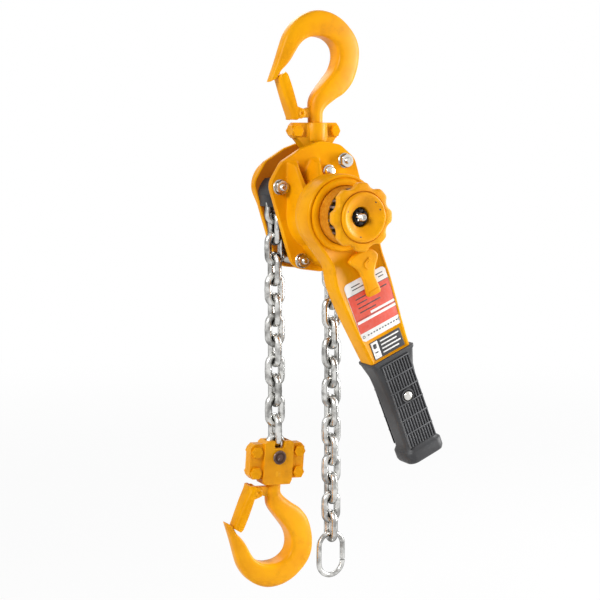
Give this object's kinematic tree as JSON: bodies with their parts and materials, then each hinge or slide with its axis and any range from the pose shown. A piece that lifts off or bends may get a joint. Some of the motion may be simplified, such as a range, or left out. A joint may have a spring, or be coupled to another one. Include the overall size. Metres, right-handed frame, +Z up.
{
  "type": "come along winch",
  "caption": "Lever-operated chain winch with swivel top hook, side plates, ratchet lever with grip and knob, hanging load chain with lower hook, and a loose chain end with ring.",
  "frame": {"origin": "the load point on the inside top of the upper hook's bowl, in the middle of its thickness", "axes": "+Z up along the hook's shank, +X to the viewer's right with the lever in front, +Y away from the lever towards the gear case"},
  "size_m": [0.2063, 0.1713, 0.5713],
  "materials": {
    "paint": "semi-gloss orange-yellow paint",
    "chain": "plated steel",
    "zinc": "zinc-plated steel",
    "dark_steel": "oiled dark steel",
    "cast": "cast, oiled",
    "guide": "black coated steel",
    "rubber": "moulded black rubber"
  },
  "bodies": {
    "top_hook_body": {"top_hook": "paint", "top_latch_pin": "zinc"},
    "top_latch": {"top_latch": "paint"},
    "top_block": {"top_block_front": "paint", "top_block_rear": "paint", "top_block_bolts": "zinc"},
    "winch_frame": {"side_plate_front": "paint", "side_plate_rear": "paint", "stays": "zinc", "stay_nuts": "zinc", "top_pin": "zinc", "chain_guide_left": "guide", "chain_guide_right": "guide", "chain_stripper": "guide", "brake_cover": "paint", "cover_screw": "zinc", "gear_case": "paint", "wrapped_chain": "chain"},
    "lever": {"lever_front_shell": "paint", "lever_rear_shell": "paint", "lever_tongue": "paint", "grip": "rubber", "grip_rivet": "zinc"},
    "selector": {"selector_lever": "paint", "change_pawl": "dark_steel"},
    "change": {"change_gear": "dark_steel"},
    "knob": {"knob": "paint"},
    "sheave": {"load_sheave": "cast"},
    "drive": {"drive_shaft": "dark_steel", "brake_discs": "dark_steel", "shaft_nut": "zinc"},
    "hook_chain_top": {"hook_chain_top": "chain"},
    "hook_chain": {"hook_chain": "chain"},
    "bottom_block": {"bottom_block_front": "paint", "bottom_block_rear": "paint", "bottom_block_bolts": "zinc", "chain_pin": "zinc"},
    "bottom_hook_body": {"bottom_hook": "paint", "bottom_latch_pin": "zinc"},
    "bottom_latch": {"bottom_latch": "paint"},
    "free_chain_top": {"free_chain_top": "chain"},
    "free_chain": {"free_chain": "chain"},
    "end_ring": {"end_ring": "zinc"}
  },
  "joints": [
    {"name": "top_latch_pivot", "type": "hinge", "parent": "top_hook_body", "child": "top_latch", "pos_m": [-0.0203, 0, -0.0765], "axis": [0, 1, 0], "range_deg": [0, 40], "stiffness_Nm_per_rad": 0.02, "springref_deg": -28.65},
    {"name": "top_hook_swivel", "type": "hinge", "parent": "top_hook_body", "child": "top_block", "pos_m": [0, 0, -0.09], "axis": [0, 0, 1], "continuous": true},
    {"name": "top_block_pivot", "type": "hinge", "parent": "top_block", "child": "winch_frame", "pos_m": [0, 0, -0.1157], "axis": [0, 1, 0], "range_deg": [-20, 20]},
    {"name": "lever_swing", "type": "hinge", "parent": "winch_frame", "child": "lever", "pos_m": [-0.0122, 0, -0.1707], "axis": [0, 1, 0], "continuous": true},
    {"name": "selector_turn", "type": "hinge", "parent": "lever", "child": "selector", "pos_m": [0.00541, 0, -0.21428], "axis": [0, 1, 0], "range_deg": [-7, 7]},
    {"name": "change_gear_turn", "type": "hinge", "parent": "winch_frame", "child": "change", "pos_m": [-0.0122, 0, -0.1707], "axis": [0, 1, 0], "continuous": true},
    {"name": "knob_pull", "type": "slide", "parent": "change", "child": "knob", "axis": [0, -1, 0], "range_m": [0, 0.006]},
    {"name": "sheave_turn", "type": "hinge", "parent": "winch_frame", "child": "sheave", "pos_m": [-0.0122, 0, -0.1707], "axis": [0, 1, 0], "continuous": true, "deforming": ["wrapped_chain"]},
    {"name": "drive_turn", "type": "hinge", "parent": "winch_frame", "child": "drive", "pos_m": [-0.0122, 0, -0.1707], "axis": [0, 1, 0], "continuous": true},
    {"name": "hook_chain_top_swing", "type": "hinge", "parent": "winch_frame", "child": "hook_chain_top", "pos_m": [-0.04499, 0, -0.20035], "axis": [0, 1, 0], "range_deg": [-1, 15]},
    {"name": "hook_chain_swing", "type": "hinge", "parent": "hook_chain_top", "child": "hook_chain", "pos_m": [-0.04499, 0, -0.22035], "axis": [1, 0, 0], "range_deg": [-5, 12]},
    {"name": "bottom_block_pivot", "type": "hinge", "parent": "hook_chain", "child": "bottom_block", "pos_m": [-0.04499, 0, -0.41283], "axis": [0, 1, 0], "range_deg": [-3, 2]},
    {"name": "bottom_hook_swivel", "type": "hinge", "parent": "bottom_block", "child": "bottom_hook_body", "pos_m": [-0.04499, 0, -0.41283], "axis": [0.0785, 0, 0.9969], "continuous": true},
    {"name": "bottom_latch_pivot", "type": "hinge", "parent": "bottom_hook_body", "child": "bottom_latch", "pos_m": [-0.06794, 0, -0.44563], "axis": [0, 1, 0], "range_deg": [-40, 0], "stiffness_Nm_per_rad": 0.02, "springref_deg": 28.65},
    {"name": "free_chain_top_swing", "type": "hinge", "parent": "winch_frame", "child": "free_chain_top", "pos_m": [0.01916, 0, -0.18782], "axis": [0, 1, 0], "range_deg": [-15, 1]},
    {"name": "free_chain_swing", "type": "hinge", "parent": "free_chain_top", "child": "free_chain", "pos_m": [0.01916, 0, -0.24782], "axis": [1, 0, 0], "range_deg": [-5, 12]},
    {"name": "end_ring_swing", "type": "hinge", "parent": "free_chain", "child": "end_ring", "pos_m": [0.01916, 0, -0.50782], "axis": [0, 1, 0], "range_deg": [-20, 20]}
  ],
  "couplings": [
    {"joint": "drive_turn", "follows": "sheave_turn", "ratio": 9}
  ]
}
